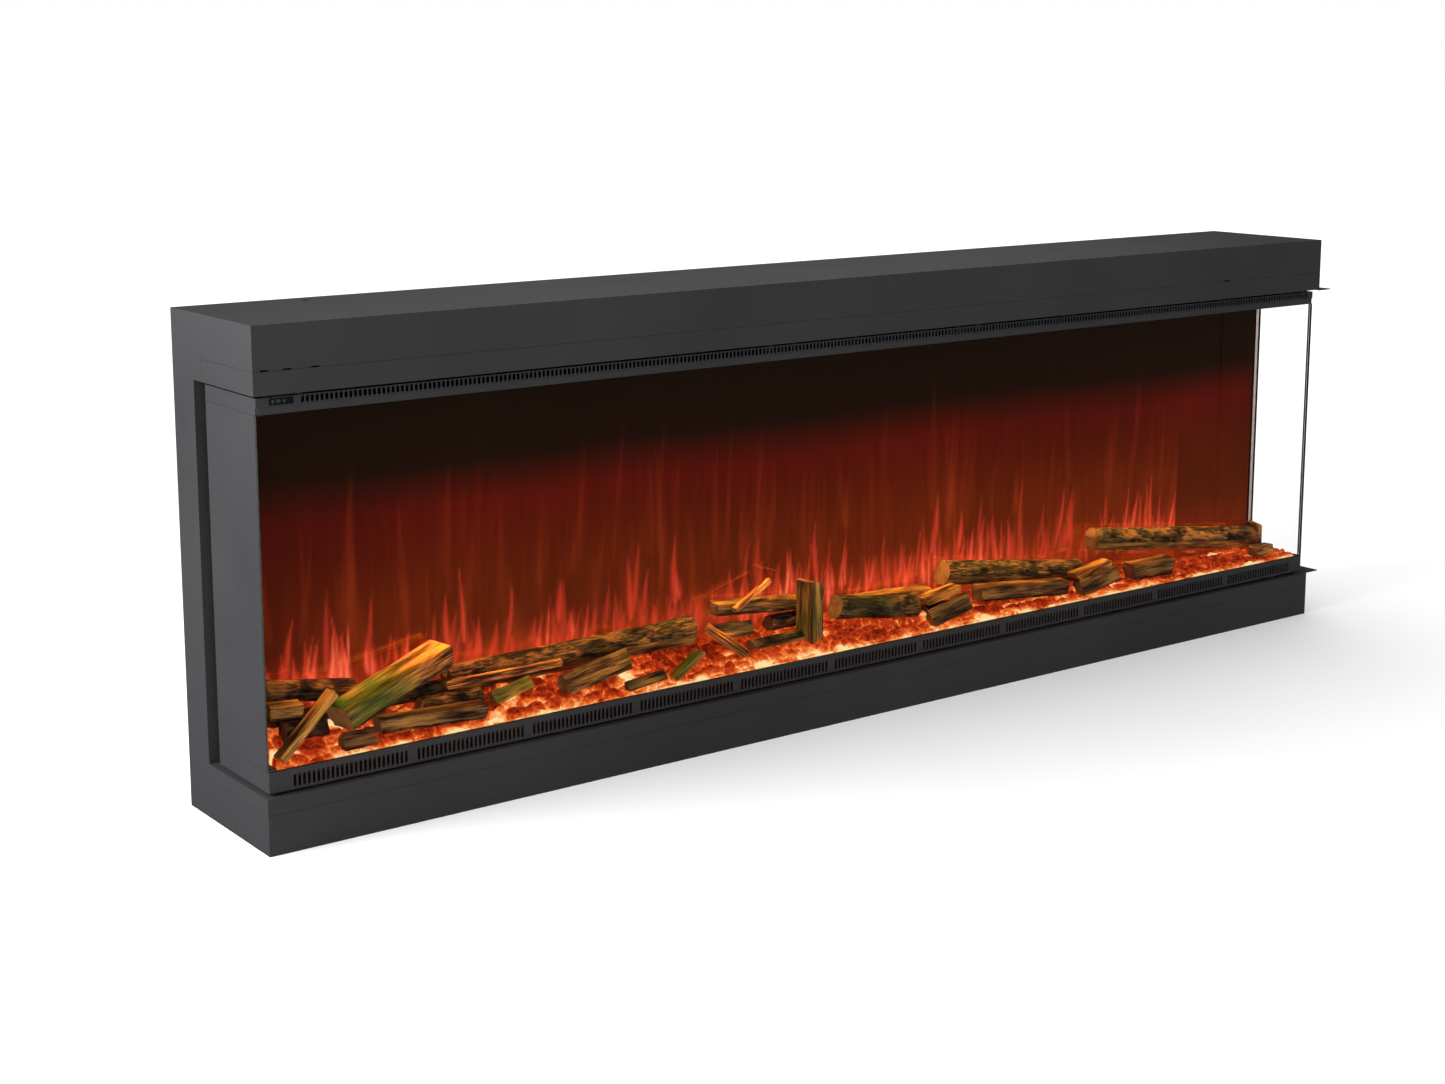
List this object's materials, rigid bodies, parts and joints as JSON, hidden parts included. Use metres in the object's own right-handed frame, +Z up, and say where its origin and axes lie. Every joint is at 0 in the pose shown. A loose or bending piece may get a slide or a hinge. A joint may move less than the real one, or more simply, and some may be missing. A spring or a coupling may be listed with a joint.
{
  "type": "electric fireplace",
  "caption": "Long built-in electric fire with a glazed front and right-hand end, log bed on a lit ember tray, flame screen, fan heater and slotted air grilles.",
  "frame": {"origin": "centre of the underside of the bounding box", "axes": "+X along the front towards the open glazed end, +Y from the front to the back, +Z up; the glass front faces -Y"},
  "size_m": [1.857, 0.22, 0.61],
  "materials": {
    "powder_coat": "matte dark grey powder coat, fine orange peel",
    "black_enamel": "matt black heat-resisting paint",
    "clear_glass": "clear toughened glass",
    "smoked_mirror_glass": "smoked half-mirror, flame picture behind",
    "opal_acrylic": "opal, lit from behind",
    "ember_resin": "crushed clear and amber resin lumps, lit from below",
    "zinc_steel": "zinc-plated sheet",
    "reflector_foil": "bright reflecting foil",
    "bronze": "sintered bronze",
    "circuit_laminate": "green circuit laminate",
    "heater_alloy": "finned heater alloy",
    "black_plastic": "moulded, lightly textured",
    "button_plastic": "moulded",
    "rocker_plastic": "moulded",
    "bark_log": "charred and rough bark",
    "mossy_log": "split, weathered, mossy",
    "split_log": "split, dry, pale"
  },
  "bodies": {
    "casing": {"rear_panel": "powder_coat", "top_cover": "powder_coat", "base_pan": "powder_coat", "left_side_sheet": "powder_coat", "right_side_sheet": "powder_coat", "head_floor": "powder_coat", "base_deck": "powder_coat", "base_trim": "powder_coat", "upper_flange": "powder_coat", "lower_flange": "powder_coat", "upper_vent_frame": "powder_coat", "lower_vent_frame": "powder_coat", "glass_top_rail": "powder_coat", "firebox_ceiling": "black_enamel", "ember_tray": "opal_acrylic", "ember_bed": "ember_resin", "screen_channel": "black_enamel", "flame_screen": "smoked_mirror_glass", "flame_diffuser": "opal_acrylic", "flame_stencil": "zinc_steel", "light_box": "black_enamel", "flicker_motor_left": "zinc_steel", "flicker_motor_right": "zinc_steel", "spindle_bracket": "zinc_steel", "spindle_bushes": "bronze", "flame_led_strip": "circuit_laminate", "ember_led_strip": "circuit_laminate", "downlight_led_strip": "circuit_laminate", "blower_housing": "zinc_steel", "blower_motor": "zinc_steel", "heater_element": "heater_alloy", "thermal_cutout": "heater_alloy", "control_board": "circuit_laminate", "power_supply": "zinc_steel", "terminal_block": "black_plastic", "cable_gland": "black_plastic", "mains_switch_frame": "black_plastic", "control_plate": "black_plastic", "button_board": "circuit_laminate", "casing_screws": "zinc_steel", "log_bark_left": "bark_log", "log_split_green": "mossy_log", "log_long_dark": "bark_log", "log_dark_end": "split_log", "log_upright": "mossy_log", "log_mossy": "mossy_log", "log_curved_bark": "bark_log", "log_right_bark": "bark_log", "kindling": "split_log"},
    "front_glass": {"front_glass": "clear_glass"},
    "right_glass": {"right_glass": "clear_glass"},
    "infill_panel": {"left_infill_panel": "powder_coat"},
    "head_trim": {"head_trim": "powder_coat"},
    "blower_rotor": {"blower_rotor": "black_plastic"},
    "flicker_left": {"flicker_spindle_left": "reflector_foil"},
    "flicker_right": {"flicker_spindle_right": "reflector_foil"},
    "power_button": {"power_button": "button_plastic"},
    "flame_button": {"flame_button": "button_plastic"},
    "heat_button": {"heat_button": "button_plastic"},
    "mains_rocker": {"mains_rocker": "rocker_plastic"}
  },
  "joints": [
    {"name": "front_glass_lift_off", "type": "slide", "parent": "casing", "child": "front_glass", "axis": [0, -1, 0], "range_m": [0, 0.1]},
    {"name": "right_glass_lift_off", "type": "slide", "parent": "casing", "child": "right_glass", "axis": [1, 0, 0], "range_m": [0, 0.1]},
    {"name": "infill_panel_lift_off", "type": "slide", "parent": "casing", "child": "infill_panel", "axis": [-1, 0, 0], "range_m": [0, 0.1]},
    {"name": "head_trim_lift_off", "type": "slide", "parent": "casing", "child": "head_trim", "axis": [0, -1, 0], "range_m": [0, 0.2]},
    {"name": "blower_spin", "type": "hinge", "parent": "casing", "child": "blower_rotor", "pos_m": [-0.0135, 0.008, 0.571], "axis": [1, 0, 0], "continuous": true},
    {"name": "flicker_spin_left", "type": "hinge", "parent": "casing", "child": "flicker_left", "pos_m": [-0.471, 0.0735, 0.108], "axis": [1, 0, 0], "continuous": true},
    {"name": "flicker_spin_right", "type": "hinge", "parent": "casing", "child": "flicker_right", "pos_m": [0.444, 0.0735, 0.108], "axis": [1, 0, 0], "continuous": true},
    {"name": "power_button_press", "type": "slide", "parent": "casing", "child": "power_button", "axis": [0, 1, 0], "range_m": [0, 0.001], "stiffness_N_per_m": 400},
    {"name": "flame_button_press", "type": "slide", "parent": "casing", "child": "flame_button", "axis": [0, 1, 0], "range_m": [0, 0.001], "stiffness_N_per_m": 400},
    {"name": "heat_button_press", "type": "slide", "parent": "casing", "child": "heat_button", "axis": [0, 1, 0], "range_m": [0, 0.001], "stiffness_N_per_m": 400},
    {"name": "mains_rocker_tilt", "type": "hinge", "parent": "casing", "child": "mains_rocker", "pos_m": [0.7115, 0.102, 0.034], "axis": [1, 0, 0], "range_deg": [-14, 0]}
  ]
}
